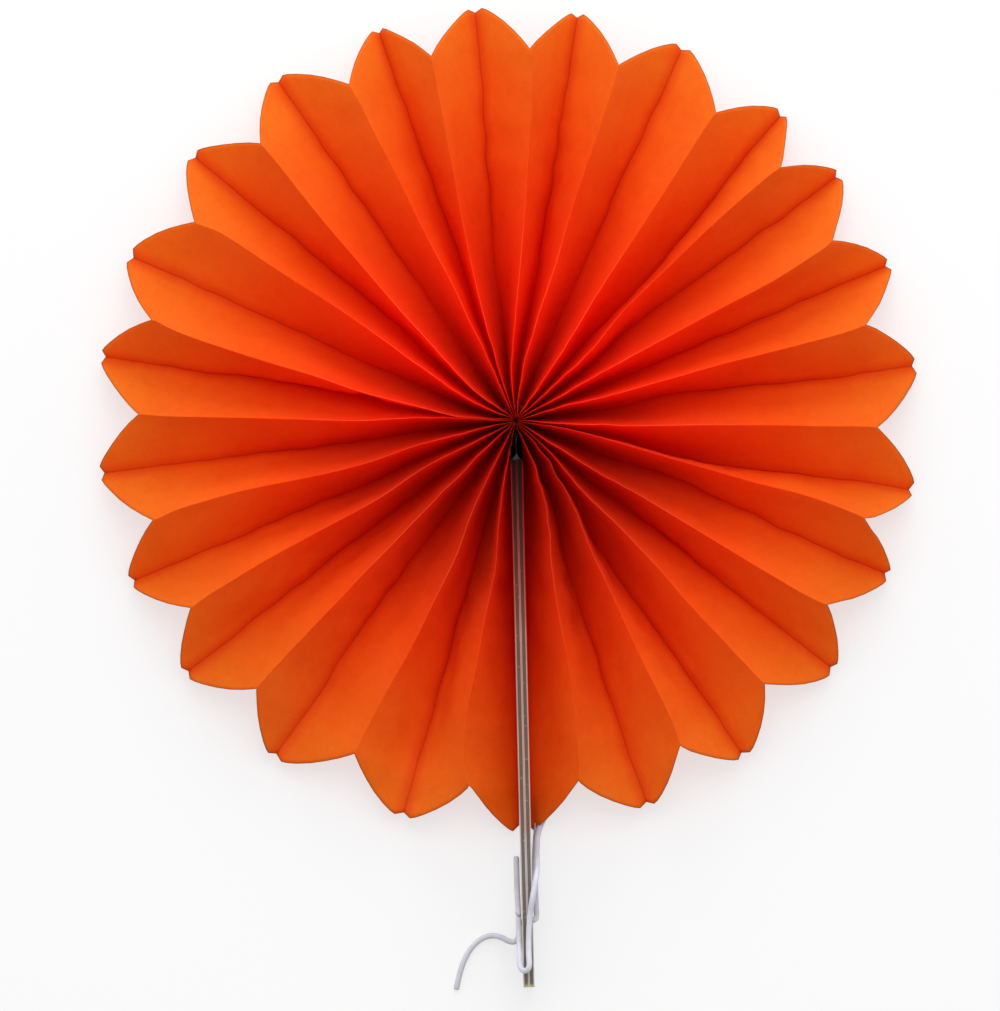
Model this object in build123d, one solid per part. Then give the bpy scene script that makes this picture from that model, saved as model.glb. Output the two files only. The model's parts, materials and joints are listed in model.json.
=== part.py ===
from build123d import *
import os
from math import asin, atan2, cos, degrees, pi, radians, sin, tan

# Paper fan rosette, in millimetres, lying on its back with its face up (+Z).
# The origin is on the hub's axis, at the surface that the fan lies on.
# The handle points along -Y. A bearing is in degrees clockwise from the handle, seen from +Z.

# Folded paper
pleat_width = 27.0  # across one folded pleat, and across an end board
paper_thickness = 0.2
fold_flat = 0.25  # width pressed flat along each fold, at the middle of the paper
rim_radius = 150.0  # to the petals' tips
cleft_radius = 148.9  # to the small cleft between a petal's two tips
notch_radius = 134.0  # to the V between two petals
rim_centre = (-2.7, 1.0)  # the tied hub sits a little off the middle of the rim
tip_share = 0.88  # where the tip is, across a pleat from its mountain fold
shoulder = 1.3  # how far a petal's edge swells beyond a straight cut
gather_radius = 10.0  # where the pleats spread from the tight hub round the boards' thickness
rim_allowance = 6.0  # paper beyond the rim before it is cut
facets_out = 10  # each pleat's gentle twist is drawn as this many flat cells from gather to rim
settling_rounds = 4  # how far neighbouring pleats even out their heights
least_rise = 0.25  # of a pleat's width: even a widely spread pleat stands this high

# Mountain folds from the left of the handle, clockwise: bearing at the rim, then how far the
# fold bows clockwise a third and two thirds of the way from the gather to the notches
mountain_folds = [
    (8.5, 1.0, 3.5), (27.0, -1.5, -2.0), (45.5, 1.0, 0.5), (61.5, 0.5, 1.0),
    (76.0, 0.0, 1.0), (92.5, -0.5, -1.0), (107.0, -5.0, -3.5), (123.0, -0.5, 1.0),
    (138.5, -3.5, -2.5), (155.0, 1.5, 0.5), (168.5, -3.0, -1.5), (183.5, -1.0, 1.0),
    (197.5, -2.0, -1.0), (214.5, 0.0, -0.5), (228.0, -1.5, -2.0), (241.5, 1.0, 2.0),
    (256.0, 0.5, 1.0), (272.5, 0.5, 0.0), (287.5, -2.5, -2.5), (301.5, 1.0, 1.5),
    (318.0, -0.5, 0.0), (335.0, -3.5, -2.5), (351.5, -3.5, -4.0),
]
# Valley folds between them: bearing at the rim and bow two thirds of the way out
valley_folds = [
    (17.5, 0.0), (37.0, 1.5), (54.0, 0.5), (68.5, 0.5), (84.0, 0.0), (100.0, 1.0),
    (114.5, -1.0), (131.0, 0.0), (146.5, 0.0), (162.0, 0.5), (175.5, -1.0), (190.0, 0.0),
    (205.5, -1.0), (222.5, 2.0), (234.0, -1.0), (248.5, 0.0), (263.5, -1.0), (281.0, 2.5),
    (293.5, -1.5), (309.0, 0.0), (327.5, 0.5), (343.0, -0.5),
]

# End boards and handle
board_thickness = 2.0
board_start = 14.0  # from the hub to the boards' inner end
board_low_end = 18.0  # height of that end, where the front edge is cut down on a slant
board_slant = 66.0  # how far out the slant runs before the board has its full width
handle_end = 205.0  # from the hub to the boards' outer end
cord_hole_diameter = 3.5
cord_hole_margin = 23.0  # from the boards' outer end to the hole
cord_hole_y = cord_hole_margin - handle_end

# Binding thread
thread_diameter = 0.5
thread_radius = 5.5  # of the ring that it makes through the pleats
ring_sides = 32  # straight sides of the thread's ring
needle_hole_diameter = 0.75
knot_diameter = 1.4

# Cord: one loose length from its end at the handle's left side, up over the boards' front edges,
# down the right side, round under the petal beside the handle, back to the cord hole and through
# it, and out to the left on the surface that the fan lies on
cord_diameter = 2.0
cord_sides = 8  # its plain tube has this many flat sides and the round cord's section area
cord_route = [
    (-3.5, -158.9, 1.07), (-3.5, -164.6, 1.35), (-3.45, -170.2, 4.65), (-3.3, -175.9, 9.8),
    (-3.2, -181.8, 15.8), (-3.1, -187.2, 21.6), (-3.15, -192.8, 26.9), (-3.25, -197.5, 29),
    (-1.5, -199.1, 30.8), (0.4, -197.6, 32.1), (0.15, -193.2, 30.7), (0.3, -186.6, 28.7),
    (0.8, -179.4, 28.4), (2.1, -171.8, 28.9), (3.8, -164.2, 27), (4.2, -159.8, 20.4),
    (4.6, -156.6, 13.2), (5.2, -153.4, 6.6), (6.5, -150, 3.2), (8.1, -145.8, 1.45),
    (9.9, -141.9, 1.07), (10, -138.15, 1.07), (7.65, -136.8, 1.07), (5.3, -138.15, 1.07),
    (5.3, -143.3, 1.07), (5.2, -149.6, 1.07), (3.7, -155.4, 1.07), (3.2, -161.8, 1.07),
    (3.25, -168.2, 1.65), (3.25, -173.8, 4.85), (3.35, -178.3, 9.4), (3.4, -181.9, 13.5),
    (-3.25, -182.1, 13.5), (-3.2, -186, 11.7), (-3.4, -188.3, 9.9), (-4.8, -189.9, 8.1),
    (-7.1, -189.6, 6.2), (-9.8, -188, 4), (-13.4, -187.4, 2.05), (-17.4, -188.8, 1.16),
    (-20.9, -192, 1.07), (-23.6, -196.6, 1.07), (-25.4, -202, 1.07), (-26.6, -207.2, 1.07),
]
bend_share = 0.45  # of the shorter run beside a corner that the corner's arc takes up

mid_height = pleat_width / 2
end_fold_offset = board_thickness + paper_thickness / 2 + fold_flat / 2
sheet_radius = rim_radius + abs(rim_centre[0]) + rim_allowance


def plan_point(bearing, radius):
    """Point in plan at a bearing and a distance from the hub."""
    return Vector(-radius * sin(radians(bearing)), -radius * cos(radians(bearing)))


def sideways(bearing):
    """Unit step in plan across a fold, clockwise."""
    return Vector(-cos(radians(bearing)), sin(radians(bearing)))


def end_bearing(radius):
    """Bearing at which the fold against the left board lies, at a distance from the hub."""
    return degrees(asin(end_fold_offset / radius))


# Every fold of the open fan in turn: valley, mountain, valley and so on, from board to board.
# Each has its bearing at the rim and its bows one and two thirds of the way out.
folds = [(end_bearing(sheet_radius), 0.0, 0.0)]
for number, (bearing, inner_bow, outer_bow) in enumerate(mountain_folds):
    folds.append((bearing, inner_bow, outer_bow))
    if number < len(valley_folds):
        valley_bearing, valley_bow = valley_folds[number]
        neighbour_bow = mountain_folds[number + 1][1]
        folds.append((valley_bearing, (inner_bow + neighbour_bow) / 2, valley_bow))
folds.append((360 - end_bearing(sheet_radius), 0.0, 0.0))
last = len(folds) - 1
hub_places = len(folds) + 2  # two places at the hub stay free between the two end pleats
hub_radius = hub_places * fold_flat / (2 * pi)

# Distances from the hub at which the folds' places are worked out
stations = [hub_radius] + [
    gather_radius + (sheet_radius - gather_radius) * cell / facets_out
    for cell in range(facets_out + 1)
]


def bow_at(share, inner_bow, outer_bow):
    """Smooth bow that is zero at both ends and passes its two values one and two thirds along."""
    near = 3 * inner_bow - 1.5 * outer_bow
    far = 3 * outer_bow - 1.5 * inner_bow
    return 3 * share * (1 - share) * (near * (1 - share) + far * share)


def fold_plan(index, radius):
    """Plan position of a fold's middle at a distance out, and the bearing that it runs along."""
    rim_bearing, inner_bow, outer_bow = folds[index]
    if radius < gather_radius:
        bearing = 360 * (index + 1.5) / hub_places
        return plan_point(bearing, radius), bearing
    if index in (0, last):
        side = -1 if index == 0 else 1
        along = (radius**2 - end_fold_offset**2) ** 0.5
        return Vector(side * end_fold_offset, -along), 0.0 if index == 0 else 360.0
    # the boards' thickness keeps some of the full turn from the pleats, most of it near the hub
    margin = end_bearing(radius)
    rim_margin = folds[0][0]
    share = (rim_bearing - rim_margin) / (360 - 2 * rim_margin)
    bearing = margin + share * (360 - 2 * margin)
    out = (radius - gather_radius) / (notch_radius - gather_radius)
    bow = bow_at(min(out, 1.0), inner_bow, outer_bow)
    return plan_point(bearing, radius) + sideways(bearing) * bow, bearing


def fold_heights(station):
    """Height of every fold at a station, from the width that each pleat keeps."""
    reach = pleat_width - paper_thickness
    places = [fold_plan(index, stations[station])[0] for index in range(last + 1)]
    drops = []
    for index in range(last):
        spacing = max((places[index + 1] - places[index]).length - fold_flat, 0)
        drops.append(max(reach**2 - spacing**2, (reach * least_rise) ** 2) ** 0.5)
    heights = [paper_thickness / 2]
    for index in range(1, last):
        rise = (drops[index - 1] + drops[index]) / 4
        heights.append(mid_height + (rise if index % 2 else -rise))
    heights.append(paper_thickness / 2)
    # no fold settles past half of its usual way to the fan's back or face
    lowest = (mid_height - sum(drops) / last / 2 + paper_thickness / 2) / 2
    for _ in range(round(settling_rounds)):
        for index in range(1, last):
            sign = 1 if index % 2 else -1
            before = heights[index - 1] + sign * drops[index - 1]
            after = heights[index + 1] + sign * drops[index]
            heights[index] = min(max((before + after) / 2, lowest), pleat_width - lowest)
    return heights


height_at = [fold_heights(station) for station in range(len(stations))]


def crest_corner(index, station, side, front):
    """Corner of a fold's flat crest: side -1 is anticlockwise, and front is the upper face."""
    place, bearing = fold_plan(index, stations[station])
    height = height_at[station][index]
    neighbour = index + side
    if 0 <= neighbour <= last:
        spacing = (fold_plan(neighbour, stations[station])[0] - place).length - fold_flat
        slope = atan2(abs(height_at[station][neighbour] - height), max(spacing, 0))
    else:
        slope = pi / 2  # the end pleat stands flat against its board
    outside = (index % 2 == 1) == front
    mitre = paper_thickness / 2 * tan(slope / 2) * (1 if outside else -1)
    step = side * (fold_flat / 2 + mitre)
    lift = paper_thickness / 2 if front else -paper_thickness / 2
    return place + sideways(bearing) * step + Vector(0, 0, height + lift)


def board_edge(index, station, front):
    """Free edge of the end pleat, level with the front edge of the board that it is glued to."""
    place, bearing = fold_plan(index, stations[station])
    side = -1 if index == 0 else 1
    out = paper_thickness / 2 if front else -paper_thickness / 2
    place = place + sideways(bearing) * side * (fold_flat / 2 - out)
    if station > 1:
        # the stack's leaf-shaped cut leaves this edge as short as a mountain fold
        share = (stations[station] - gather_radius) / (sheet_radius - gather_radius)
        near = -(gather_radius**2 - end_fold_offset**2) ** 0.5
        place = Vector(place.X, near + share * (-notch_radius + rim_centre[1] - near))
    return place + Vector(0, 0, pleat_width)


def crest_faces(edge_a, edge_b):
    """Narrow faces along a fold's crest, one for each cell."""
    cells = range(len(stations) - 1)
    return [Face.make_bezier_surface([edge_a[k : k + 2], edge_b[k : k + 2]]) for k in cells]


def pleat_faces(edge_a, edge_b, leans):
    """Flat triangles, two for each cell, whose shared side runs outwards from edge a if it leans."""
    faces = []
    for k in range(len(stations) - 1):
        a, a_out, b, b_out = edge_a[k], edge_a[k + 1], edge_b[k], edge_b[k + 1]
        corners = [(a, b_out, a_out), (a, b, b_out)] if leans else [(a, b, a_out), (b, b_out, a_out)]
        faces += [Face(Wire.make_polygon(three)) for three in corners]
    return faces


def pleated_sheet():
    """The whole folded sheet as one solid, before its rim is cut."""
    every = range(len(stations))
    # edges along the sheet, in order round the fan, each as a front and a back line of points
    lines = [[[board_edge(0, s, front) for s in every] for front in (True, False)]]
    for index in range(last + 1):
        for side in (-1, 1):
            lines.append([[crest_corner(index, s, side, f) for s in every] for f in (True, False)])
    lines.append([[board_edge(last, s, front) for s in every] for front in (True, False)])
    faces = crest_faces(lines[0][1], lines[0][0]) + crest_faces(lines[-1][0], lines[-1][1])
    for number, ((front_a, back_a), (front_b, back_b)) in enumerate(zip(lines, lines[1:])):
        if number % 2:
            faces += crest_faces(front_a, front_b) + crest_faces(back_b, back_a)
        else:
            # a pleat's facets lean from its mountain fold, inwards, to its valley fold, outwards
            leans = number // 2 % 2 == 0
            faces += pleat_faces(front_a, front_b, leans) + pleat_faces(back_a, back_b, leans)
        for end in (0, -1):
            corners = [[front_a[end], front_b[end]], [back_a[end], back_b[end]]]
            faces.append(Face.make_bezier_surface(corners))
    return Solid(Shell(faces))


def fold_line_point(index, radius):
    """Plan point where a fold's middle line meets a circle about the rim's centre."""
    centre = Vector(*rim_centre)
    low, high = notch_radius / 2, sheet_radius
    while high - low > paper_thickness / 1000:
        middle = (low + high) / 2
        if (fold_plan(index, middle)[0] - centre).length < radius:
            low = middle
        else:
            high = middle
    return fold_plan(index, low)[0]


def petal_tip(mountain, valley):
    """Plan point of the tip on the pleat between a mountain fold and a valley fold."""
    centre = Vector(*rim_centre)
    root = fold_line_point(mountain, rim_radius)
    cleft = fold_line_point(valley, rim_radius)
    toward = root + (cleft - root) * tip_share - centre
    return centre + toward * (rim_radius / toward.length)


def petal_edge(mountain, valley):
    """One pleat's cut edge in plan, from its notch to its tip."""
    notch = fold_line_point(mountain, notch_radius)
    tip = petal_tip(mountain, valley)
    chord = tip - notch
    outward = Vector(-chord.Y, chord.X).normalized()
    if outward.dot(notch) < 0:
        outward = outward * -1
    return notch, (notch + tip) / 2 + outward * shoulder, tip


def rim_cutter():
    """Upright block whose outline is the scalloped rim."""
    pieces = []
    for valley in range(0, last + 1, 2):
        cleft = fold_line_point(valley, cleft_radius)
        if valley > 0:
            notch, swell, tip = petal_edge(valley - 1, valley)
            pieces += [ThreePointArc(notch, swell, tip), Line(tip, cleft)]
        if valley < last:
            notch, swell, tip = petal_edge(valley + 1, valley)
            pieces += [Line(cleft, tip), ThreePointArc(tip, swell, notch)]
    first, final = (fold_line_point(index, cleft_radius) for index in (0, last))
    pieces.append(Line(final, first))
    outline = Wire(pieces)
    return extrude(Face(outline), amount=2 * pleat_width, dir=(0, 0, 1)).moved(
        Location((0, 0, -pleat_width / 2))
    )


def hub_ring(width):
    """Ring about the hub at the fan's mid height, square in section, with many straight sides."""
    outer = RegularPolygon(thread_radius + width / 2, side_count=ring_sides)
    inner = RegularPolygon(thread_radius - width / 2, side_count=ring_sides)
    return Pos(0, 0, mid_height - width / 2) * extrude(outer - inner, amount=width)


def end_board(side):
    """One greyboard strip, side -1 the left one, with the cord hole that runs across the handle."""
    profile = Polygon(
        (-handle_end, 0),
        (-board_start, 0),
        (-board_start, board_low_end),
        (-board_start - board_slant, pleat_width),
        (-handle_end, pleat_width),
        align=None,
    )
    board = extrude(Plane.YZ * profile, amount=side * board_thickness)
    hole = Pos(side * board_thickness / 2, cord_hole_y, mid_height)
    return board - hole * Rot(0, 90, 0) * Cylinder(cord_hole_diameter / 2, board_thickness * 2)


def binding_thread():
    """Thread ring through all the pleats, with its knot in the gap above the boards."""
    knot = Pos(0, -thread_radius, mid_height) * Rot(0, 90, 0) * Cylinder(
        knot_diameter / 2, knot_diameter
    )
    return hub_ring(thread_diameter) + chamfer(knot.edges(), knot_diameter / 4)


def tie_cord():
    """Cord along its route, each corner's arc as large as the runs beside it allow."""
    points = [Vector(*point) for point in cord_route]
    runs = [after - before for before, after in zip(points, points[1:])]
    radii = []
    for before, after in zip(runs, runs[1:]):
        half_turn = radians(before.get_angle(after)) / 2
        radii.append(bend_share * min(before.length, after.length) / tan(half_turn))
    print("cord bend radii", [round(radius, 1) for radius in radii])
    line = FilletPolyline(*points, radius=radii)
    section = pi * cord_diameter**2 / 4
    corner = (2 * section / (cord_sides * sin(2 * pi / cord_sides))) ** 0.5
    outline = Plane(line @ 0, z_dir=line % 0) * RegularPolygon(corner, side_count=cord_sides)
    cord = sweep(outline, path=line)
    print("cord length", round(line.length, 1), "by volume", round(cord.volume / section, 1))
    return cord


os.makedirs("parts", exist_ok=True)
needle_holes = hub_ring(needle_hole_diameter)
export_step((pleated_sheet() & rim_cutter()) - needle_holes, "parts/pleated_paper.step")
export_step(end_board(-1), "parts/left_board.step")
export_step(end_board(1), "parts/right_board.step")
export_step(binding_thread(), "parts/binding_thread.step")
export_step(tie_cord(), "parts/tie_cord.step")
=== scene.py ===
import json
from math import asin, cos, exp, pi, radians, sin, sqrt
import bpy
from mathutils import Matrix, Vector, noise

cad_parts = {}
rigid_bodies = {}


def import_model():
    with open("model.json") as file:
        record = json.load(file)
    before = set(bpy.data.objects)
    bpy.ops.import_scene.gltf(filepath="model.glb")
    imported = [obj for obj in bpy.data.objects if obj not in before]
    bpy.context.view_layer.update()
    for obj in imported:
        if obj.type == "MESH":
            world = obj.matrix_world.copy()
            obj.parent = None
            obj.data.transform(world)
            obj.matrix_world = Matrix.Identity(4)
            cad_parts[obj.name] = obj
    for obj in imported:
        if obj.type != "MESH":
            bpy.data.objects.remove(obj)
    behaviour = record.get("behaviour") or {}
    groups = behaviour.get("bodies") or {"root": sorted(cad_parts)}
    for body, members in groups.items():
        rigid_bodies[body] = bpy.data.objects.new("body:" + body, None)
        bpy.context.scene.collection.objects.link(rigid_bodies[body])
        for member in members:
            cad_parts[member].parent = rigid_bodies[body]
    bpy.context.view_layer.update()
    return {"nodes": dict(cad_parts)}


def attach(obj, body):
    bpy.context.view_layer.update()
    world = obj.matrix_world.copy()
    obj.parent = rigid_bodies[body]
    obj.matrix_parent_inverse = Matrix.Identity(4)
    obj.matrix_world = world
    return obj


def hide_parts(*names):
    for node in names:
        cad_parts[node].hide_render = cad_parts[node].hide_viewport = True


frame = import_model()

# The fan lies on its back, face up (+Z), handle along -Y. Lengths are in metres.
# A bearing is in degrees clockwise from the handle, seen from above.
mm = 0.001


def selectNothing():
    for item in bpy.context.view_layer.objects:
        item.select_set(False)
    bpy.context.view_layer.objects.active = None


def selectOnly(item):
    selectNothing()
    item.select_set(True)
    bpy.context.view_layer.objects.active = item


def applyModifier(item, modifier):
    selectOnly(item)
    bpy.ops.object.modifier_apply(modifier=modifier.name)


def smoothStep(low, high, value):
    share = min(max((value - low) / (high - low), 0.0), 1.0)
    return share * share * (3 - 2 * share)


def newMaterial(name):
    material = bpy.data.materials.new(name)
    material.use_nodes = True
    material.node_tree.nodes.clear()
    return material


def addNode(material, kind, settings=None, **inputs):
    node = material.node_tree.nodes.new(kind)
    for key, value in (settings or {}).items():
        setattr(node, key, value)
    for key, value in inputs.items():
        fill(material, node, key.replace("_", " "), value)
    return node


def fill(material, node, socket, value):
    target = node.inputs[socket]
    if hasattr(value, "is_output"):
        material.node_tree.links.new(value, target)
    else:
        target.default_value = value


def mathNode(material, operation, first, second=None, third=None, clamp=False):
    node = addNode(material, "ShaderNodeMath", {"operation": operation, "use_clamp": clamp})
    for place, value in enumerate((first, second, third)):
        if value is not None:
            fill(material, node, place, value)
    return node.outputs[0]


def rangeNode(material, value, low, high, outLow=0.0, outHigh=1.0):
    node = addNode(material, "ShaderNodeMapRange", {"interpolation_type": "SMOOTHSTEP"})
    for place, item in enumerate((value, low, high, outLow, outHigh)):
        fill(material, node, place, item)
    return node.outputs[0]


def mixColour(material, factor, first, second, blend="MIX"):
    node = addNode(material, "ShaderNodeMix", {"data_type": "RGBA", "blend_type": blend})
    fill(material, node, 0, factor)
    fill(material, node, 6, first)
    fill(material, node, 7, second)
    return node.outputs[2]


def noiseNode(material, place, scale, detail=3.0, roughness=0.55):
    node = addNode(material, "ShaderNodeTexNoise", Vector=place, Scale=scale, Detail=detail, Roughness=roughness)
    return node.outputs["Fac"]


def rampNode(material, share, stops):
    # colours at shares of the way
    node = addNode(material, "ShaderNodeValToRGB", Fac=share)
    elements = node.color_ramp.elements
    elements[0].position, elements[0].color = stops[0]
    elements[1].position, elements[1].color = stops[-1]
    for place, colour in stops[1:-1]:
        elements.new(place).color = colour
    return node.outputs[0]


def coordinates(material):
    # the piece's own x, y and z
    place = addNode(material, "ShaderNodeTexCoord").outputs["Object"]
    return place, addNode(material, "ShaderNodeSeparateXYZ", Vector=place).outputs


def stretched(material, place, scale):
    return addNode(material, "ShaderNodeMapping", Vector=place, Scale=scale).outputs[0]


def bumpNode(material, height, strength, distance, normal=None):
    node = addNode(material, "ShaderNodeBump", Height=height, Strength=strength, Distance=distance)
    if normal is not None:
        fill(material, node, "Normal", normal)
    return node.outputs[0]


def seenNode(material):
    # 1 where the camera sees the surface, straight on, in gloss or through something
    path = addNode(material, "ShaderNodeLightPath").outputs
    seen = mathNode(material, "ADD", path["Is Camera Ray"], path["Is Glossy Ray"])
    return mathNode(material, "ADD", seen, path["Is Transmission Ray"], clamp=True)


def mixShaders(material, factor, first, second):
    node = addNode(material, "ShaderNodeMixShader")
    fill(material, node, 0, factor)
    fill(material, node, 1, first.outputs[0])
    fill(material, node, 2, second.outputs[0])
    return node


def finishWith(material, shader):
    output = addNode(material, "ShaderNodeOutputMaterial")
    material.node_tree.links.new(shader.outputs[0], output.inputs["Surface"])
    return material


camera = {
    "over": (-6.4 * mm, -30.6 * mm),  # the point under the middle of the picture
    "height": 2.4,
    "turn": -1.35,  # degrees, the handle runs a little to the right on its way down
    "span": 363.6 * mm,  # width of the view at the fan's mid height
    "midHeight": 13.5 * mm,
    "sensor": 36.0,
}


def placeCamera():
    data = bpy.data.cameras.new("overheadCamera")
    data.sensor_fit = "HORIZONTAL"
    data.sensor_width = camera["sensor"]
    data.lens = camera["sensor"] * camera["height"] / camera["span"]
    data.clip_start, data.clip_end = 0.05, 20.0
    item = bpy.data.objects.new("overheadCamera", data)
    bpy.context.scene.collection.objects.link(item)
    item.location = (*camera["over"], camera["midHeight"] + camera["height"])
    item.rotation_euler = (0.0, 0.0, radians(camera["turn"]))
    bpy.context.scene.camera = item


placeCamera()
print("camera placed")


tieCord = {
    "thickness": 2.0 * mm,
    "length": 0.2319,
    "sides": 20,
    "ringStep": 0.28 * mm,
    "strands": 8,
    "fullness": 1.025,  # how far the strands swell beyond the thickness
    "lobe": 0.015,
    "plaitTurn": 0.45,  # how far the strands wind from ring to ring, in radians
    "endRings": 2.5,  # rings over which the ends are rounded
    "endReach": 0.75,
    "white": (0.66, 0.66, 0.73, 1.0),
    "grey": (0.42, 0.42, 0.50, 1.0),
    # painted shade for the bend in the leg beside the handle
    "creaseShadeColour": (0.16, 0.15, 0.17, 1.0),
    "creaseAt": (-3.0 * mm, -179.9 * mm),  # the bend in the leg beside the handle
    "route": [  # in millimetres, from the end beside the handle to the tail's end
        (-3.5, -158.9, 1.07), (-3.5, -164.6, 1.35), (-3.45, -170.2, 4.65), (-3.3, -175.9, 9.8),
        (-3.2, -181.8, 15.8), (-3.1, -187.2, 21.6), (-3.15, -192.8, 26.9), (-3.25, -197.5, 29),
        (-1.5, -199.1, 30.8), (0.4, -197.6, 32.1), (0.15, -193.2, 30.7), (0.3, -186.6, 28.7),
        (0.8, -179.4, 28.4), (2.1, -171.8, 28.9), (3.8, -164.2, 27), (4.0, -159.8, 20.4),
        (4.1, -156.6, 13.2), (4.3, -153.4, 6.6), (4.7, -150, 3.2), (6.6, -145.8, 1.45),
        (9.4, -141.9, 1.07), (10, -138.15, 1.07), (7.65, -136.8, 1.07), (5.3, -138.15, 1.07),
        (4.75, -143.3, 1.07), (4.1, -149.6, 1.07), (3.5, -155.4, 1.07), (3.2, -161.8, 1.07),
        (3.25, -168.2, 1.65), (3.25, -173.8, 4.85), (3.35, -178.3, 9.4), (3.4, -181.9, 13.5),
        (-3.25, -182.1, 13.5), (-3.2, -186, 11.7), (-3.4, -188.3, 9.9), (-4.8, -189.9, 8.1),
        (-7.1, -189.6, 6.2), (-9.8, -188, 4), (-13.4, -187.4, 2.05), (-17.4, -188.8, 1.16),
        (-20.9, -192, 1.07), (-23.6, -196.6, 1.07), (-25.4, -202, 1.07), (-26.6, -207.2, 1.07),
    ],
}


def cordLine():
    # the route's smooth line, read from a NURBS spline that has no bevel
    curve = bpy.data.curves.new("cordRoute", "CURVE")
    curve.dimensions = "3D"
    curve.resolution_u = 24
    spline = curve.splines.new("NURBS")
    spline.points.add(len(tieCord["route"]) - 1)
    for point, place in zip(spline.points, tieCord["route"]):
        point.co = (*(value * mm for value in place), 1.0)
    spline.order_u = 3
    spline.use_endpoint_u = True
    holder = bpy.data.objects.new("cordRoute", curve)
    bpy.context.scene.collection.objects.link(holder)
    bpy.context.view_layer.update()
    mesh = bpy.data.meshes.new_from_object(holder)
    dense = [vertex.co.copy() for vertex in mesh.vertices]
    bpy.data.objects.remove(holder)
    bpy.data.curves.remove(curve)
    bpy.data.meshes.remove(mesh)
    # the same line at even steps
    line, carried = [dense[0]], 0.0
    step = tieCord["ringStep"]
    for before, after in zip(dense, dense[1:]):
        run = (after - before).length
        while run > 0 and carried + run >= step:
            before = before.lerp(after, (step - carried) / run)
            line.append(before)
            run = (after - before).length
            carried = 0.0
        carried += run
    if (dense[-1] - line[-1]).length > step / 2:
        line.append(dense[-1])
    return line


def makeTieCord():
    line = cordLine()
    radius = tieCord["thickness"] / 2
    sides = tieCord["sides"]
    side = Vector((1.0, 0.0, 0.0))
    points, faces, mapping = [], [], []
    for number, place in enumerate(line):
        ahead = line[min(number + 1, len(line) - 1)]
        behind = line[max(number - 1, 0)]
        along = (ahead - behind).normalized()
        side = (side - along * side.dot(along)).normalized()
        up = along.cross(side)
        fromEnd = min(min(number, len(line) - 1 - number) / tieCord["endRings"], 1.0)
        rounding = sqrt(max(1 - (1 - fromEnd) ** 2, 0.0)) * (1 - tieCord["endReach"]) + tieCord["endReach"]
        wound = number * tieCord["plaitTurn"]
        for corner in range(sides):
            turn = 2 * pi * corner / sides
            # the plaited strands show as small lobes that cross each other
            lobes = sin(tieCord["strands"] / 2 * turn + wound) * sin(tieCord["strands"] / 2 * turn - wound)
            reach = radius * rounding * (tieCord["fullness"] + tieCord["lobe"] * lobes)
            points.append(place + (side * cos(turn) + up * sin(turn)) * reach)
    for number in range(len(line) - 1):
        ring, nextRing = number * sides, (number + 1) * sides
        for corner in range(sides):
            after = (corner + 1) % sides
            faces.append((ring + corner, ring + after, nextRing + after, nextRing + corner))
            mapping.append((corner, number))
    first, lastRing = len(points), (len(line) - 1) * sides
    points += [line[0] - (line[1] - line[0]) * 0.3, line[-1] + (line[-1] - line[-2]) * 0.3]
    for corner in range(sides):
        after = (corner + 1) % sides
        faces.append((first, after, corner))
        mapping.append((corner, -1))
        faces.append((first + 1, lastRing + corner, lastRing + after))
        mapping.append((corner, len(line)))
    mesh = bpy.data.meshes.new("plaitedCord")
    mesh.from_pydata(points, [], faces)
    layer = mesh.uv_layers.new(name="cordMap")
    for face, (corner, number) in zip(mesh.polygons, mapping):
        if len(face.vertices) == 4:
            spots = ((corner, number), (corner + 1, number), (corner + 1, number + 1), (corner, number + 1))
        elif number < 0:
            spots = ((corner + 0.5, -0.5), (corner + 1, 0), (corner, 0))
        else:
            spots = ((corner + 0.5, number - 0.5), (corner, number - 1), (corner + 1, number - 1))
        for loop, (across, along) in zip(face.loop_indices, spots):
            layer.data[loop].uv = (across / sides, along * tieCord["ringStep"] / tieCord["thickness"])
    item = bpy.data.objects.new("plaitedCord", mesh)
    bpy.context.scene.collection.objects.link(item)
    for face in mesh.polygons:
        face.use_smooth = True
    mesh.update()
    return item, line


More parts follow.
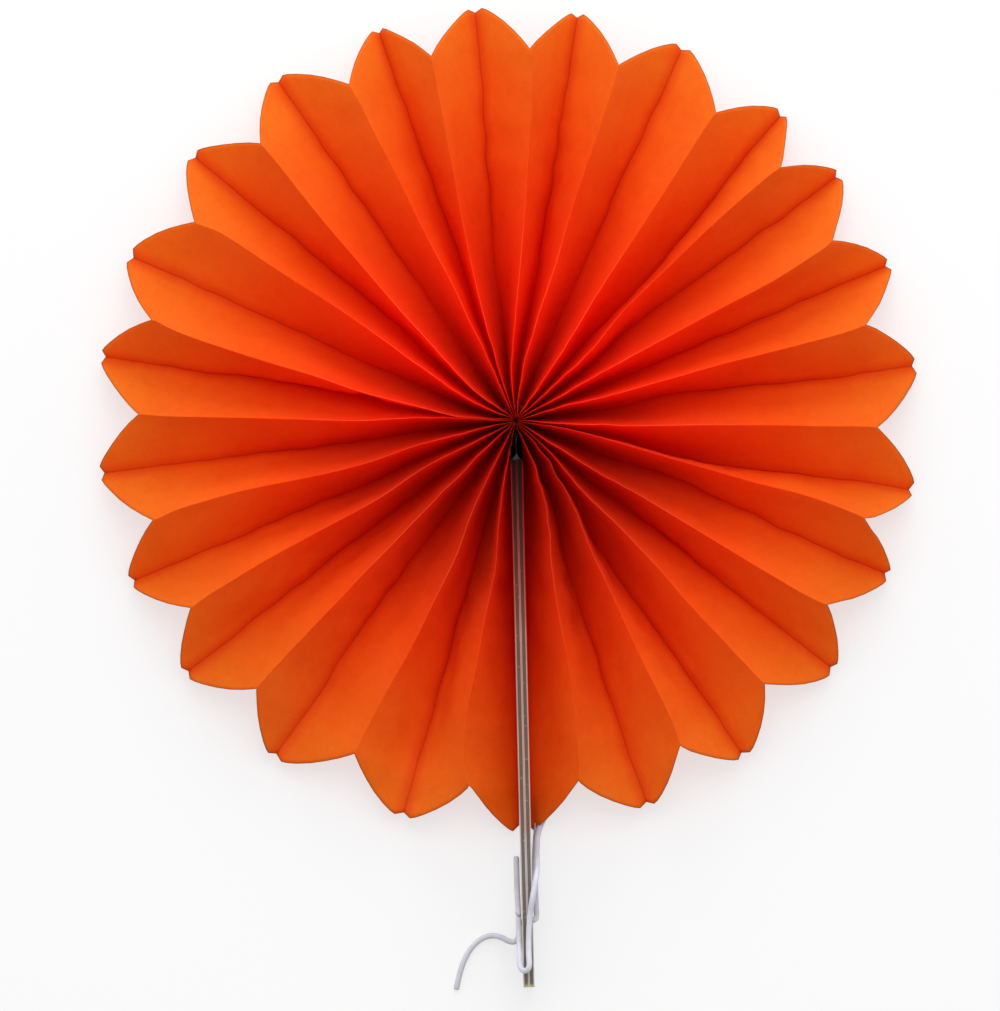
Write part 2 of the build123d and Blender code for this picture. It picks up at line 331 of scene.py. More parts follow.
def whiteCordFinish():
    material = newMaterial("whiteCord")
    cordMap = addNode(material, "ShaderNodeUVMap", {"uv_map": "cordMap"}).outputs[0]
    place, spot = coordinates(material)
    around, along = addNode(material, "ShaderNodeSeparateXYZ", Vector=cordMap).outputs[0:2]
    # plait: two families of strands that wind opposite ways
    hands = []
    for winding in (9.0, -9.0):
        slant = mathNode(material, "MULTIPLY", along, winding)
        wave = mathNode(material, "MULTIPLY_ADD", around, tieCord["strands"] * pi, slant)
        hands.append(mathNode(material, "SINE", wave))
    plait = mathNode(material, "MULTIPLY_ADD", mathNode(material, "MULTIPLY", *hands), 0.5, 0.5)
    fibres = noiseNode(material, stretched(material, place, (1.0, 0.25, 1.0)), 5200.0, 2.0)
    soft = noiseNode(material, place, 90.0, 2.0)
    grime = rangeNode(material, soft, 0.35, 0.75, 0.0, 0.55)
    # painted shade in the grooves between the strands, with fibres and grime
    shadeAndGrime = mathNode(material, "MULTIPLY_ADD", plait, -0.22, mathNode(material, "MULTIPLY_ADD", fibres, 0.25, grime))
    # painted shade of the crease where the leg beside the handle was bent, a curved line on its upper side
    aside = mathNode(material, "SUBTRACT", spot[0], tieCord["creaseAt"][0])
    drop = mathNode(material, "SUBTRACT", spot[1], tieCord["creaseAt"][1])
    dish = mathNode(material, "MULTIPLY", mathNode(material, "POWER", aside, 2.0), 900.0)
    offLine = mathNode(material, "ABSOLUTE", mathNode(material, "SUBTRACT", drop, dish))
    creaseShade = rangeNode(material, offLine, 0.18 * mm, 0.55 * mm, 1.0, 0.0)
    onLeg = rangeNode(material, spot[0], -2.0 * mm, -1.9 * mm, 1.0, 0.0)
    high = rangeNode(material, spot[2], 12.0 * mm, 12.6 * mm, 0.0, 0.75)
    creaseShade = mathNode(material, "MULTIPLY", mathNode(material, "MULTIPLY", creaseShade, onLeg), high)
    shadeAndGrime = mathNode(material, "ADD", shadeAndGrime, 0.1, clamp=True)
    colour = mixColour(material, shadeAndGrime, tieCord["white"], tieCord["grey"])
    colour = mixColour(material, creaseShade, colour, tieCord["creaseShadeColour"])
    height = mathNode(material, "MULTIPLY_ADD", fibres, 0.35, plait)
    shader = addNode(material, "ShaderNodeBsdfPrincipled", Base_Color=colour, Roughness=0.62)
    fill(material, shader, "Sheen Weight", 0.25)
    fill(material, shader, "Sheen Roughness", 0.4)
    fill(material, shader, "Normal", bumpNode(material, height, 0.5, 0.09 * mm))
    return finishWith(material, shader)


plaitedCord, cordPath = makeTieCord()
plaitedCord.data.materials.append(whiteCordFinish())
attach(plaitedCord, "root")
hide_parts("tie_cord")
print("tie cord laid")


foldedPaper = {
    "pleatWidth": 26.8,  # these lengths are in millimetres
    "thickness": 0.09,
    "hubRadius": 0.9,  # where the mountain folds meet
    "hubFoot": 0.12,  # where the valley folds meet, at the back
    "notchRadius": 134.0,
    "tipRadius": 150.0,
    "cleftRadius": 148.6,
    "handleTips": 150.9,  # the two half petals beside the handle reach further
    "rimCentre": (-2.7, 1.0),
    "tipShare": 0.87,
    "endTipShare": 0.985,  # of the last open pleat, beside the handle
    "swell": 1.15,  # how far a petal's edge bulges beyond a straight cut
    "boardFace": 2.13,  # from the middle plane to the end pleats' paper
    "foldedGap": 0.12,  # the same where nothing lies between the end pleats
    "boardsFrom": (12.2, 13.9),  # radii between which the end pleats part round the boards
    "gapFrom": (2.0, 9.0),  # and between which their free edges part
    "gathered": (1.2, 7.0),  # radii between which the folds spread from even steps
    "leastGap": 0.2,
    "middleHeight": 13.5,
    "backHeight": 0.1,
    "faceHeight": 26.9,
    "leastRise": 0.25,  # of a pleat's width: even a widely spread pleat stands this high
    "settlingRounds": 4,
    "rows": 84,
    "rowSpread": 1.12,  # above 1, the rows are closer together near the hub
    "across": [0.0, 0.04, 0.16, 0.32, 0.5, 0.68, 0.8, 0.88, 0.96, 1.0],  # columns of an open pleat
    "endAcross": [0.0, 0.33, 0.66, 1.0],  # and of an end pleat, from its fold to its free edge
    "lowest": 0.08,  # the skin stays within the height of the solid
    "highest": 26.92,
    "smoothAngle": 34,  # degrees, sharper folds keep their edge
    "belly": 1.5,  # how much the pleats bulge, wrinkle and crumple
    "wrinkle": 0.32,
    "crumple": 1.5,
    "crumpledAt": (84, 44),  # radius where they are crumpled most, and how far from there it fades
    # the folds' sideways shifts are given at these radii, and end at the notch or the cleft
    "shiftRadii": [0, 18, 36, 55, 73, 91, 109, 127],
    # mountain folds, clockwise: bearing at the rim, sideways shift in mm at each radius between
    "mountains": [
        (8.3, 1.3, 1.6, 0.9, 2.3, 3.6, 4.9, 3.3), (27.2, 0.2, 0, -1.9, -1.9, -1.8, -0.7, 0),
        (45.4, 0.8, 1.1, 1.2, 1.1, 0.7, 0.7, 0.5), (61.4, 1.0, 1.6, 0.5, 0.9, 1.2, 1.1, 0.8),
        (76.0, 0.6, 0.8, -0.5, -0.1, 1.0, 1.7, 1.3), (92.3, 0.6, 0.5, -1.0, -0.9, -0.8, -0.7, -0.5),
        (106.8, -3.9, -4.6, -4.9, -4.1, -3.6, -2.9, -1.6), (123.1, -2.5, -1.6, -0.1, 0.5, 1.1, 1.3, 1.6),
        (138.7, -3.6, -3.8, -3.7, -3.4, -2.6, -1.8, -0.4), (155.0, 0.6, 1.0, 1.4, 1.1, 0.7, 0.5, 0.4),
        (168.3, -1.7, -2.6, -3.0, -2.4, -1.7, -1.0, -0.3), (183.5, -2.0, -1.7, -0.7, 0.3, 1.0, 1.5, 1.1),
        (197.5, -2.8, -2.7, -2.0, -1.8, -1.2, -0.2, 0.2), (214.4, 0.1, 0.5, -0.1, -0.2, -0.3, -0.3, -0.3),
        (227.8, 0.1, 0.6, -1.9, -2.3, -2.1, -2.0, -1.1), (241.5, 0.2, 0.6, 0.9, 1.4, 2.0, 2.4, 1.5),
        (255.8, -0.4, 0.7, 0.4, 0.3, 0.9, 1.3, 1.1), (272.5, 0.7, 1.0, 0.6, 0.2, -0.1, -0.4, -0.4),
        (287.4, -2.3, -2.6, -2.3, -2.3, -2.3, -2.7, -1.6), (301.6, 0.6, 1.1, 0.7, 1.1, 1.5, 1.8, 1.4),
        (317.9, -1.0, 0.1, -0.8, -0.8, 0.1, 0.2, 0.2), (334.8, -4.1, -4.9, -3.2, -2.8, -2.4, -2.2, -1.6),
        (351.7, -3.9, -5.4, -4.0, -3.6, -3.8, -3.4, -1.8),
    ],
    # valley folds between them: bearing at the rim, shifts at 55, 73, 91 and 109 mm
    "valleys": [
        (17.3, 0, 0, 0, 0), (37.1, 1.0, 1.5, 1.4, 1.1), (54.0, 0.9, 0.9, 0.7, 0.6),
        (68.7, 0, 0.3, 0.5, -0.3), (84.2, 0, 0, 0, 0), (100.3, 0.9, 1.1, 0.8, 0.4),
        (114.5, -1.9, -1.5, -1.0, -0.6), (130.8, 0, 0, 0, 0), (146.4, -0.4, -0.3, -0.2, 0),
        (162.0, 0.4, 0.5, 0.4, 0.2), (175.7, -2.1, -1.6, -1.1, -0.7), (190.0, -0.4, -0.4, -0.2, 0),
        (205.4, -0.6, -0.8, -1.0, -0.5), (222.3, 1.8, 2.6, 1.8, 1.1), (234.0, -1.9, -1.3, -0.9, -0.6),
        (248.6, 0, 0, 0, 0), (263.4, -1.7, -1.6, -0.9, -0.4), (281.2, 2.2, 2.9, 2.4, 1.5),
        (293.7, -2.8, -2.5, -1.6, -0.6), (309.3, -0.4, -0.4, -0.2, 0), (327.1, 1.3, 1.2, 0.6, 0.2),
        (342.4, -0.3, -0.4, -0.3, -0.2),
    ],
    "hubThrough": 0.8,  # share of the light that goes through, at the hub and at the rim
    "rimThrough": 0.56,
    "colours": {
        # the dye at shares of the way from the hub to the rim, with painted red bounce light making it redder where
        # the pleats are gathered
        "dyeWithPaintedBounce": [
            (0.0, (1.0, 0.055, 0.020, 1.0)), (0.2, (1.0, 0.074, 0.018, 1.0)), (0.4, (1.0, 0.118, 0.013, 1.0)),
            (0.6, (0.975, 0.162, 0.010, 1.0)), (0.8, (0.94, 0.222, 0.014, 1.0)), (0.94, (0.905, 0.262, 0.017, 1.0)),
        ],
        "cloudTint": (0.98, 0.80, 0.72, 1.0),  # the tints are multiplied with the dye
        "mottleTint": (0.97, 0.80, 0.72, 1.0),
        # painted shade near the hub on the handle's side
        "hubShadeTint": (0.88, 0.8, 0.8, 1.0),
        "fibre": (1.0, 0.28, 0.06, 1.0),
        "speck": (1.0, 0.36, 0.12, 1.0),
        # painted highlight on the crests near the hub
        "crest": (1.0, 0.34, 0.12, 1.0),
        # painted shade along the valley folds, and their thin painted dark line
        "creaseShade": (0.84, 0.05, 0.005, 1.0),
        "line": (0.55, 0.03, 0.004, 1.0),
        # painted shadow in the gap between the hub and the boards
        "gap": (0.015, 0.004, 0.003, 1.0),
        "cutEdge": (0.36, 0.11, 0.008, 1.0),
    },
}


def throughPoints(places, values, spot):
    # smooth curve through the values
    if spot <= places[0]:
        return values[0]
    for number in range(len(places) - 1):
        if spot <= places[number + 1]:
            width = places[number + 1] - places[number]
            share = (spot - places[number]) / width
            before, after = max(number - 1, 0), min(number + 2, len(places) - 1)
            startSlope = (values[number + 1] - values[before]) / (places[number + 1] - places[before])
            endSlope = (values[after] - values[number]) / (places[after] - places[number])
            square, cube = share * share, share ** 3
            return (
                (2 * cube - 3 * square + 1) * values[number] + (cube - 2 * square + share) * width * startSlope
                + (3 * square - 2 * cube) * values[number + 1] + (cube - square) * width * endSlope
            )
    return values[-1]


def foldShift(fold, radius):
    spots = foldedPaper["shiftRadii"]
    mountains = foldedPaper["mountains"]
    if fold % 2:
        return throughPoints([*spots, 135], [0, *mountains[fold // 2][1:], 0], radius)
    before, after = mountains[fold // 2 - 1], mountains[fold // 2]
    valley = foldedPaper["valleys"][fold // 2 - 1]
    inner = [(before[place] + after[place]) / 4 for place in (1, 2)]
    return throughPoints([*spots, 148], [0, *inner, *valley[1:], 0, 0], radius)


def foldWander(fold, radius):
    # small waves of the crests near the hub, strongest beside the handle on the right
    size = 0.8 if fold > 41 else 0.35
    near = smoothStep(2.0, 6.0, radius) * (1 - smoothStep(30.0, 60.0, radius))
    fine = noise.noise(Vector((fold * 4.7, radius / 5.5, 2.0))) * size * near
    if fold % 2 == 0:
        # valley creases are set by hand, so they wander a little all the way out
        far = smoothStep(40.0, 60.0, radius) * (1 - smoothStep(125.0, 142.0, radius))
        fine += noise.noise(Vector((fold * 6.1, radius / 9.0, 5.0))) * 0.7 * far
    slow = noise.noise(Vector((fold * 2.9, radius / 28.0, 7.0))) * 0.5
    return fine + slow * (1 - smoothStep(110.0, 130.0, radius))


foldCount = 2 * len(foldedPaper["mountains"]) + 1  # folds 0 and the last are the valleys at the boards
sheetUnit = 0.027  # of the sheet's map, for one pleat
tableStep = 1.0  # mm between the radii at which the folds' places are worked out
tableEnd = 160


def halfGap(radius, span):
    # from the middle plane to an end pleat, which parts from the other within the span
    narrow = foldedPaper["foldedGap"]
    return narrow + (foldedPaper["boardFace"] - narrow) * smoothStep(*span, radius)


def foldBearings(radius):
    # the end pleats' folds meet between the boards' inner end and the hub
    boardBearing = asin(min(halfGap(radius, foldedPaper["boardsFrom"]) / radius, 1.0))
    gathered = 1 - smoothStep(*foldedPaper["gathered"], radius)
    bearings = []
    for fold in range(foldCount):
        hubBearing = 2 * pi * (fold + 0.7) / (foldCount + 0.4)
        if fold == 0:
            opened = boardBearing
        elif fold == foldCount - 1:
            opened = 2 * pi - boardBearing
        else:
            row = foldedPaper["mountains"][fold // 2] if fold % 2 else foldedPaper["valleys"][fold // 2 - 1]
            opened = radians(row[0]) + (foldShift(fold, radius) + foldWander(fold, radius)) / radius
        bearings.append(hubBearing * gathered + opened * (1 - gathered))
    # neighbours never cross
    least = foldedPaper["leastGap"] / radius
    least = min(least, 2 * pi / (foldCount + 6))
    for _ in range(40):
        for fold in range(1, foldCount - 1):
            low, high = bearings[fold - 1] + least, bearings[fold + 1] - least
            if low > high:
                bearings[fold] = (low + high) / 2
            else:
                bearings[fold] = min(max(bearings[fold], low), high)
    return bearings


def foldHeights(radius, bearings):
    # a pleat's width and how far its folds are apart give how high it stands
    reach = foldedPaper["pleatWidth"]
    back, face = foldedPaper["backHeight"], foldedPaper["faceHeight"]
    drops = []
    for before, after in zip(bearings, bearings[1:]):
        spacing = 2 * radius * sin((after - before) / 2)
        drops.append(sqrt(max(reach ** 2 - spacing ** 2, (foldedPaper["leastRise"] * reach) ** 2)))
    heights = [back]
    for fold in range(1, foldCount - 1):
        rise = (drops[fold - 1] + drops[fold]) / 4
        heights.append(foldedPaper["middleHeight"] + (rise if fold % 2 else -rise))
    heights.append(back)
    for _ in range(foldedPaper["settlingRounds"]):
        for fold in range(1, foldCount - 1):
            sign = 1 if fold % 2 else -1
            before = heights[fold - 1] + sign * drops[fold - 1]
            after = heights[fold + 1] + sign * drops[fold]
            heights[fold] = min(max((before + after) / 2, back), face)
    return heights


def foldTables():
    places, heights = [], []
    for step in range(int(tableEnd / tableStep) + 1):
        radius = max(step * tableStep, foldedPaper["hubFoot"])
        bearings = foldBearings(radius)
        places.append([Vector((-radius * sin(b), -radius * cos(b), 0.0)) for b in bearings])
        heights.append(foldHeights(radius, bearings))
    return places, heights


def makeFoldedPaper():
    places, heights = foldTables()
    settings = foldedPaper
    centre = Vector((*settings["rimCentre"], 0.0))
    across = settings["across"]
    rows = settings["rows"]

    def foldPoint(fold, radius):
        spot = radius / tableStep
        low = min(int(spot), len(places) - 2)
        share = spot - low
        point = places[low][fold].lerp(places[low + 1][fold], share)
        point.z = heights[low][fold] * (1 - share) + heights[low + 1][fold] * share
        return point

    def rimReach(pleat, fromMountain, tipShare):
        # distance of the cut edge from the rim's centre, across a pleat from its mountain fold
        uneven = noise.noise(Vector((pleat * 1.7, 3.3, 0.5)))
        notch, cleft = settings["notchRadius"], settings["cleftRadius"]
        tip = settings["handleTips"] if pleat in (0, foldCount - 2) else settings["tipRadius"] + 0.5 * uneven
        if fromMountain <= tipShare:
            share = fromMountain / tipShare
            swell = settings["swell"] * (1 + 0.6 * uneven) * 4 * share * (1 - share)
            return notch + (tip - notch) * share + swell * (0.95 + 0.1 * share)
        return tip + (cleft - tip) * (fromMountain - tipShare) / (1 - tipShare)

    def edgeRadius(first, second, share, target):
        low, high = 100.0, 158.0
        for _ in range(22):
            middle = (low + high) / 2
            point = foldPoint(first, middle).lerp(foldPoint(second, middle), share)
            point.z = 0.0
            if (point - centre).length < target:
                low = middle
            else:
                high = middle
        return low

    # columns of the sheet in order: end pleat, open pleats, end pleat
    endAcross = settings["endAcross"]
    columns = [("end", 0, share) for share in endAcross[:0:-1]]
    for pleat in range(foldCount - 1):
        # the across list runs from the mountain, so it is turned round where the valley comes first
        shares = across[:-1] if pleat % 2 else [1 - share for share in across[:0:-1]]
        columns += [("open", pleat, share) for share in shares]
    columns += [("end", foldCount - 1, share) for share in endAcross]
    points, sheetMap, toRim = [], [], []
    for kind, number, share in columns:
        if kind == "end":
            side = -1 if number == 0 else 1
            edge = settings["notchRadius"] + 1 + (settings["cleftRadius"] - settings["notchRadius"] - 1) * (1 - share)
            unit = (1 - share) if number == 0 else foldCount + share
        else:
            mountainFirst = number % 2 == 1
            fromMountain = share if mountainFirst else 1 - share
            tipShare = settings["endTipShare"] if number == foldCount - 2 else settings["tipShare"]
            edge = edgeRadius(number, number + 1, share, rimReach(number, fromMountain, tipShare))
            unit = 1 + number + share
        for row in range(rows + 1):
            out = (row / rows) ** settings["rowSpread"]
            inner = settings["hubRadius"]
            if kind == "open":
                inner += (settings["hubFoot"] - inner) * fromMountain
            radius = inner + (edge - inner) * out
            toRim.append((edge - radius) * mm)
            if kind == "end":
                point = foldPoint(number, radius)
                # their free edges stay apart there, round a narrow dark gap
                apart = halfGap(radius, settings["gapFrom"])
                point.x += side * share * max(apart - abs(point.x), 0.0)
                point.z = settings["backHeight"] + share * settings["pleatWidth"]
            else:
                first, second = foldPoint(number, radius), foldPoint(number + 1, radius)
                point = first.lerp(second, share)
                point += pleatGive(number, share, radius, first, second)
            point.z = min(max(point.z, settings["lowest"]), settings["highest"])
            points.append(point * mm)
            sheetMap.append((unit * sheetUnit, radius * mm))
    faces = []
    for column in range(len(columns) - 1):
        for row in range(rows):
            a = column * (rows + 1) + row
            faces.append((a, a + rows + 1, a + rows + 2, a + 1))
    mesh = bpy.data.meshes.new("foldedPaper")
    mesh.from_pydata(points, [], faces)
    layer = mesh.uv_layers.new(name="sheetMap")
    for loop in mesh.loops:
        layer.data[loop.index].uv = sheetMap[loop.vertex_index]
    mesh.attributes.new("toRim", "FLOAT", "POINT").data.foreach_set("value", toRim)
    item = bpy.data.objects.new("foldedPaper", mesh)
    bpy.context.scene.collection.objects.link(item)
    selectOnly(item)
    bpy.ops.object.shade_smooth_by_angle(angle=radians(settings["smoothAngle"]))
    wall = item.modifiers.new("paperWall", "SOLIDIFY")
    wall.thickness = settings["thickness"] * mm
    wall.offset = 0.0
    applyModifier(item, wall)
    return item


def pleatGive(pleat, share, radius, first, second):
    # soft belly, wrinkles and creases of hand-folded paper, along the pleat's normal
    run = second - first
    flat = Vector((run.x, run.y, 0.0))
    if flat.length < 0.5:
        return Vector((0.0, 0.0, 0.0))
    outward = Vector((first.x, first.y, 0.0)).normalized()
    normal = run.cross(outward)
    if normal.z < 0:
        normal = -normal
    normal.normalize()
    held = sin(pi * share)  # nothing moves at the folds
    free = smoothStep(14.0, 45.0, radius)
    spot = Vector((pleat * 7.3, radius / 46.0, share * 1.4))
    belly = noise.noise(spot) * foldedPaper["belly"]
    wrinkle = noise.noise(Vector((pleat * 3.1 + share * 1.2, radius / 6.5, 4.0))) * foldedPaper["wrinkle"]
    place, reach = foldedPaper["crumpledAt"]
    mid = exp(-((radius - place) / reach) ** 2)
    ridge = 0.5 - abs(noise.noise(Vector((pleat * 5.7 + share * 2.6, radius / 15.0 + share * 0.8, 9.0))))
    crumple = ridge * foldedPaper["crumple"]
    # the pleats beside the handle were handled most
    handled = 0.6 + 1.1 * (1 - smoothStep(4.0, 12.0, min(pleat, foldCount - 2 - pleat)))
    return normal * held * free * (belly + mid * handled * (wrinkle + crumple))


def paperBase(material, sheetMap, unit, radius, fibres, mottle):
    colours = foldedPaper["colours"]
    fromMountain = mathNode(material, "PINGPONG", unit, 1.0)  # 0 at a mountain fold, 1 at a valley fold
    clouds = noiseNode(material, sheetMap, 45.0, 2.0, 0.5)
    # the dye, painted redder towards the hub for the light bouncing in the gathered pleats
    base = rampNode(material, mathNode(material, "DIVIDE", radius, foldedPaper["tipRadius"] * mm), colours["dyeWithPaintedBounce"])
    cloudy = rangeNode(material, clouds, 0.3, 0.7, 0.0, 0.5)
    base = mixColour(material, cloudy, base, colours["cloudTint"], "MULTIPLY")
    mottled = rangeNode(material, mottle, 0.35, 0.75, 0.0, 0.5)
    base = mixColour(material, mottled, base, colours["mottleTint"], "MULTIPLY")
    base = mixColour(material, rangeNode(material, fibres, 0.5, 0.85, 0.0, 0.3), base, colours["fibre"])
    specks = rangeNode(material, noiseNode(material, sheetMap, 900.0, 2.0, 0.7), 0.58, 0.72, 0.0, 0.35)
    specks = mathNode(material, "MULTIPLY", specks, rangeNode(material, radius, 0.1, 0.14))
    base = mixColour(material, specks, base, colours["speck"])
    # painted highlight along the crests, strongest near the hub where they crowd together
    inner = rangeNode(material, radius, 0.03, 0.10, 0.95, 0.0)
    ridge = mathNode(material, "MULTIPLY", rangeNode(material, fromMountain, 0.01, 0.022, 1.0, 0.0), inner)
    # 1 on the open pleats, 0 on the two that are glued to the boards
    lastUnit = float(foldCount)
    opened = mathNode(
        material, "MULTIPLY", rangeNode(material, unit, 0.98, 1.0),
        rangeNode(material, unit, lastUnit, lastUnit + 0.02, 1.0, 0.0),
    )
    base = mixColour(material, mathNode(material, "MULTIPLY", ridge, opened), base, colours["crest"])
    # painted shade along the valley folds, with a thin painted dark line
    nearRim = rangeNode(material, radius, 0.03, 0.10)
    for name, start, end, strength in (("creaseShade", 0.78, 1.02, 0.5), ("line", 0.97, 0.995, 0.3)):
        share = mathNode(material, "MULTIPLY", rangeNode(material, fromMountain, start, end, 0.0, strength), nearRim)
        base = mixColour(material, share, base, colours[name])
    # painted shade near the hub, on the handle's side
    upward = coordinates(material)[1][1]
    hubShade = mathNode(
        material, "MULTIPLY", rangeNode(material, upward, -0.03, 0.01, 1.0, 0.0),
        rangeNode(material, radius, 0.035, 0.095, 1.0, 0.0),
    )
    base = mixColour(material, hubShade, base, colours["hubShadeTint"], "MULTIPLY")
    # painted shadow on the paper in the narrow gap between the hub and the boards
    gap = mathNode(
        material, "MULTIPLY", rangeNode(material, radius, 0.013, 0.018, 1.0, 0.0),
        mathNode(material, "SUBTRACT", 1.0, opened),
    )
    base = mixColour(material, gap, base, colours["gap"])
    toRim = addNode(material, "ShaderNodeAttribute", {"attribute_name": "toRim"}).outputs["Fac"]
    return mixColour(material, rangeNode(material, toRim, 0.1 * mm, 0.5 * mm, 0.65, 0.0), base, colours["cutEdge"])


def orangePaperFinish():
    material = newMaterial("orangeCraftPaper")
    sheetMap = addNode(material, "ShaderNodeUVMap", {"uv_map": "sheetMap"}).outputs[0]
    along, radius = addNode(material, "ShaderNodeSeparateXYZ", Vector=sheetMap).outputs[0:2]
    unit = mathNode(material, "DIVIDE", along, sheetUnit)
    fibres = noiseNode(material, stretched(material, sheetMap, (1.0, 0.35, 1.0)), 2600.0, 4.0, 0.6)
    mottle = noiseNode(material, sheetMap, 260.0, 3.0, 0.6)
    base = paperBase(material, sheetMap, unit, radius, fibres, mottle)
    height = mathNode(material, "MULTIPLY_ADD", mottle, 0.65, mathNode(material, "MULTIPLY", fibres, 0.35))
    # faint straight creases where the sheet was handled
    bent = addNode(
        material, "ShaderNodeTexVoronoi", {"feature": "DISTANCE_TO_EDGE"},
        Vector=stretched(material, sheetMap, (1.0, 0.6, 1.0)), Scale=42.0,
    )
    crumpled = bumpNode(material, rangeNode(material, bent.outputs["Distance"], 0.0, 0.16), 0.35, 0.3 * mm)
    shader = addNode(material, "ShaderNodeBsdfPrincipled", Base_Color=base, Roughness=0.72)
    fill(material, shader, "Specular IOR Level", 0.16)
    fill(material, shader, "Normal", bumpNode(material, height, 0.35, 0.12 * mm, crumpled))
    through = addNode(material, "ShaderNodeBsdfTranslucent", Color=base)
    share = rangeNode(material, radius, 0.03, 0.12, foldedPaper["hubThrough"], foldedPaper["rimThrough"])
    return finishWith(material, mixShaders(material, share, shader, through))


paper = makeFoldedPaper()
paper.data.materials.append(orangePaperFinish())
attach(paper, "root")
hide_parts("pleated_paper")
print("paper folded,", len(paper.data.polygons), "faces")


boards = {
    "linerOut": 1.62 * mm,  # from the middle plane to where the outer liner starts
    "linerIn": 0.34 * mm,  # and to where the inner one ends
    "liner": [(0.46, 0.42, 0.40, 1.0), (0.56, 0.52, 0.50, 1.0)],
    "core": [(0.10, 0.08, 0.068, 1.0), (0.19, 0.155, 0.13, 1.0)],
    "fleck": (0.45, 0.40, 0.33, 1.0),
    "seam": (0.10, 0.085, 0.08, 1.0),
    "cutCorner": (0.52, 0.46, 0.22, 1.0),  # at the handle's end
    "lowerEnd": -204.9 * mm,
    # how far from the hub the painted shade on the boards reaches, in mm
    "shadeReach": 160,
    # painted shade and red bounce light on the boards, darkest near the hub: distance from the hub in mm, tint
    "shadeAndBounce": [
        (12, (0.14, 0.022, 0.018, 1.0)), (21, (0.20, 0.045, 0.045, 1.0)), (30, (0.30, 0.09, 0.08, 1.0)),
        (38, (0.42, 0.15, 0.12, 1.0)), (52, (0.60, 0.26, 0.21, 1.0)), (66, (0.74, 0.38, 0.30, 1.0)),
        (82, (0.86, 0.52, 0.44, 1.0)), (98, (0.90, 0.62, 0.55, 1.0)), (120, (0.97, 0.70, 0.62, 1.0)),
        (148, (1.0, 0.80, 0.74, 1.0)), (152, (1.0, 1.0, 1.0, 1.0)),
    ],
}


def greyboardFinish():
    material = newMaterial("layeredGreyboard")
    place, spot = coordinates(material)
    wander = noiseNode(material, stretched(material, place, (0.5, 0.08, 0.5)), 900.0, 3.0)
    offMiddle = mathNode(material, "ABSOLUTE", spot[0])
    uneven = mathNode(material, "MULTIPLY_ADD", wander, 0.24 * mm, -0.12 * mm)
    fromMiddle = mathNode(material, "ADD", offMiddle, uneven)
    linerOut, linerIn = boards["linerOut"], boards["linerIn"]
    outer = rangeNode(material, fromMiddle, linerOut - 0.06 * mm, linerOut + 0.08 * mm)
    inner = rangeNode(material, fromMiddle, linerIn - 0.06 * mm, linerIn + 0.1 * mm, 1.0, 0.0)
    isLiner = mathNode(material, "MAXIMUM", outer, inner)
    fibres = noiseNode(material, stretched(material, place, (1.0, 0.12, 0.5)), 2400.0, 4.0, 0.65)
    flecks = rangeNode(material, noiseNode(material, place, 700.0, 2.0), 0.66, 0.74, 0.0, 0.8)
    core = mixColour(material, flecks, mixColour(material, fibres, *boards["core"]), boards["fleck"])
    colour = mixColour(material, isLiner, core, mixColour(material, fibres, *boards["liner"]))
    seam = rangeNode(material, offMiddle, 0.02 * mm, 0.09 * mm, 0.8, 0.0)
    colour = mixColour(material, seam, colour, boards["seam"])
    # painted shade and red bounce light, darkest near the hub
    reach = boards["shadeReach"]
    fromHub = mathNode(material, "DIVIDE", spot[1], -reach * mm)
    shadeAndBounce = rampNode(material, fromHub, [(distance / reach, tint) for distance, tint in boards["shadeAndBounce"]])
    colour = mixColour(material, 1.0, colour, shadeAndBounce, "MULTIPLY")
    cut = rangeNode(material, spot[1], boards["lowerEnd"], boards["lowerEnd"] + 1.5 * mm, 0.85, 0.0)
    cut = mathNode(material, "MULTIPLY", cut, rangeNode(material, spot[2], 22 * mm, 26 * mm))
    colour = mixColour(material, cut, colour, boards["cutCorner"])
    height = mathNode(material, "MULTIPLY_ADD", isLiner, 0.6, fibres)
    shader = addNode(material, "ShaderNodeBsdfPrincipled", Base_Color=colour, Roughness=0.85)
    fill(material, shader, "Specular IOR Level", 0.25)
    fill(material, shader, "Normal", bumpNode(material, height, 0.6, 0.12 * mm))
    return finishWith(material, shader)


def dressNode(name, material):
    item = frame["nodes"][name]
    if not item.material_slots:
        item.data.materials.append(material)
    for slot in item.material_slots:
        slot.material = material


greyboard = greyboardFinish()
dressNode("left_board", greyboard)
dressNode("right_board", greyboard)


bindingThread = {
    "deep": (0.16, 0.010, 0.006, 1.0),
    "red": (0.28, 0.022, 0.010, 1.0),
    "fuzz": (0.42, 0.06, 0.03, 1.0),
}


def redThreadFinish():
    material = newMaterial("redBindingThread")
    place = coordinates(material)[0]
    twist = addNode(
        material, "ShaderNodeTexWave", {"bands_direction": "DIAGONAL"},
        Vector=place, Scale=900.0, Distortion=1.5, Detail=2.0,
    ).outputs["Fac"]
    fuzz = noiseNode(material, place, 4000.0, 3.0)
    colour = mixColour(material, twist, bindingThread["deep"], bindingThread["red"])
    colour = mixColour(material, rangeNode(material, fuzz, 0.5, 0.8, 0.0, 0.4), colour, bindingThread["fuzz"])
    shader = addNode(material, "ShaderNodeBsdfPrincipled", Base_Color=colour, Roughness=0.7, Sheen_Weight=0.2)
    fill(material, shader, "Normal", bumpNode(material, mathNode(material, "ADD", twist, fuzz), 0.5, 0.06 * mm))
    return finishWith(material, shader)


dressNode("binding_thread", redThreadFinish())
print("boards and thread finished")


studio = {
    "floorSize": 6.0,
    "floorColour": (0.88, 0.88, 0.885, 1.0),
    "white": (1.0, 1.0, 1.0, 1.0),
    "floorWhite": 0.62,  # share of plain white that the camera sees in the floor round the fan
    "keyPlace": (0.03, 0.28, 0.7),
    "keySize": 0.5,
    "keyPower": 1.6,
    "fillPlace": (0.05, 1.0, 0.36),
    "fillSize": 0.7,
    "fillPower": 3.6,
    "ambient": 0.8,
    "fromAbove": 0.8,  # how much more of the soft light comes from the side away from the handle
}


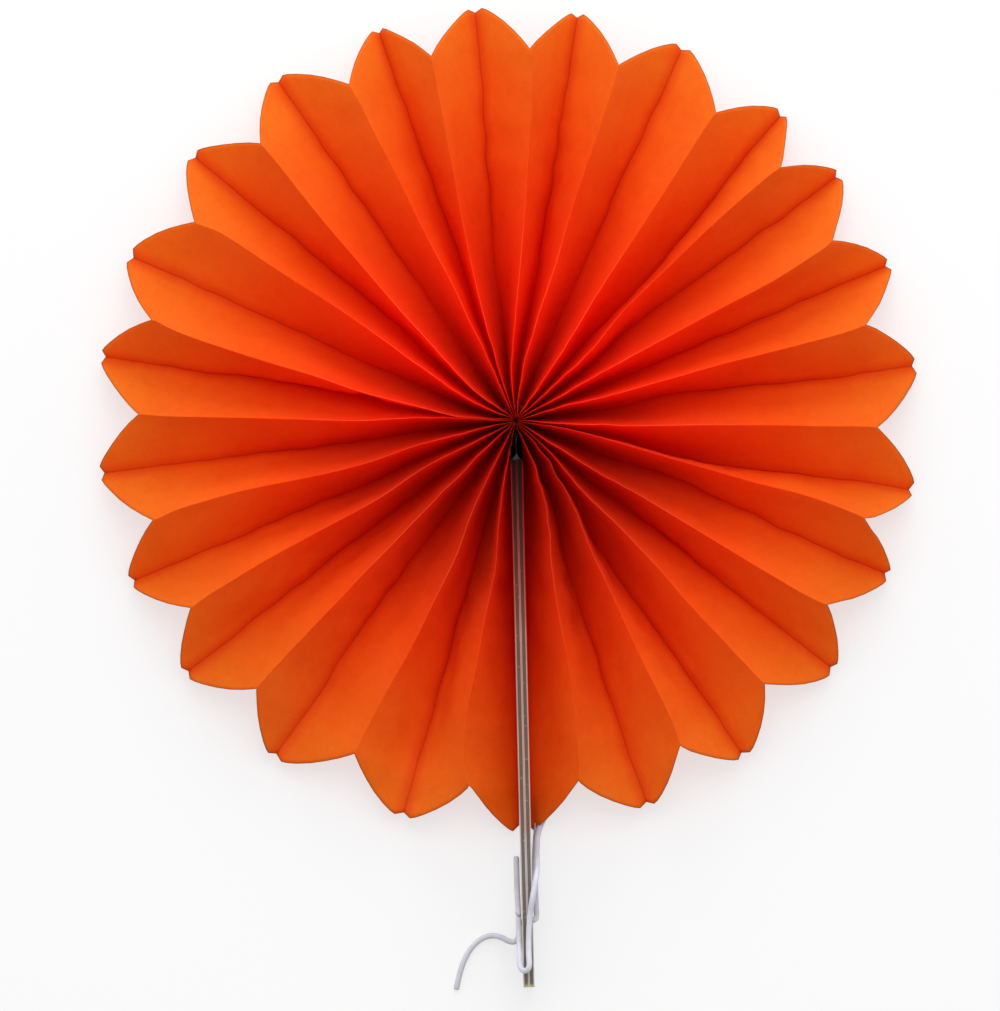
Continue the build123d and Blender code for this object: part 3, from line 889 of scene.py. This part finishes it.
def makeFloor():
    selectNothing()
    bpy.ops.mesh.primitive_plane_add(size=studio["floorSize"], location=(0.0, 0.0, 0.0))
    floor = bpy.context.active_object
    floor.name = "paleFloor"
    floor.data.name = "paleFloor"
    material = newMaterial("paleFloor")
    diffuse = addNode(material, "ShaderNodeBsdfDiffuse", Color=studio["floorColour"])
    glow = addNode(material, "ShaderNodeEmission", Color=studio["white"], Strength=1.0)
    # no added white under the fan, so its gaps stay dark, and plain white far away
    away = addNode(material, "ShaderNodeVectorMath", {"operation": "LENGTH"})
    fill(material, away, 0, coordinates(material)[0])
    away = away.outputs["Value"]
    near = rangeNode(material, away, 0.06, 0.13, 0.0, studio["floorWhite"])
    clear = mathNode(material, "ADD", near, rangeNode(material, away, 0.35, 0.95, 0.0, 1 - studio["floorWhite"]))
    share = mathNode(material, "MULTIPLY", seenNode(material), clear)
    floor.data.materials.append(finishWith(material, mixShaders(material, share, diffuse, glow)))


def addLamp(name, place, size, power):
    data = bpy.data.lights.new(name, "AREA")
    data.shape = "DISK"
    data.size = size
    data.energy = power
    item = bpy.data.objects.new(name, data)
    bpy.context.scene.collection.objects.link(item)
    item.location = place
    item.rotation_euler = (Vector((0.0, 0.0, 0.0)) - Vector(place)).to_track_quat("-Z", "Y").to_euler()


def makeWorld():
    world = bpy.data.worlds.new("studioWorld")
    bpy.context.scene.world = world
    world.use_nodes = True
    world.node_tree.nodes.clear()
    # the soft light grows towards the side away from the handle, and the camera sees plain white
    place = addNode(world, "ShaderNodeTexCoord").outputs["Generated"]
    upward = addNode(world, "ShaderNodeSeparateXYZ", Vector=place).outputs[1]
    strength = mathNode(world, "MULTIPLY_ADD", upward, studio["ambient"] * studio["fromAbove"], studio["ambient"])
    glow = addNode(world, "ShaderNodeBackground", Color=studio["white"], Strength=strength)
    white = addNode(world, "ShaderNodeBackground", Color=studio["white"], Strength=1.0)
    output = addNode(world, "ShaderNodeOutputWorld")
    fill(world, output, "Surface", mixShaders(world, seenNode(world), glow, white).outputs[0])


makeFloor()
addLamp("keyLamp", studio["keyPlace"], studio["keySize"], studio["keyPower"])
addLamp("fillLamp", studio["fillPlace"], studio["fillSize"], studio["fillPower"])
makeWorld()
bpy.context.scene.view_settings.view_transform = "Standard"
print("studio lit")
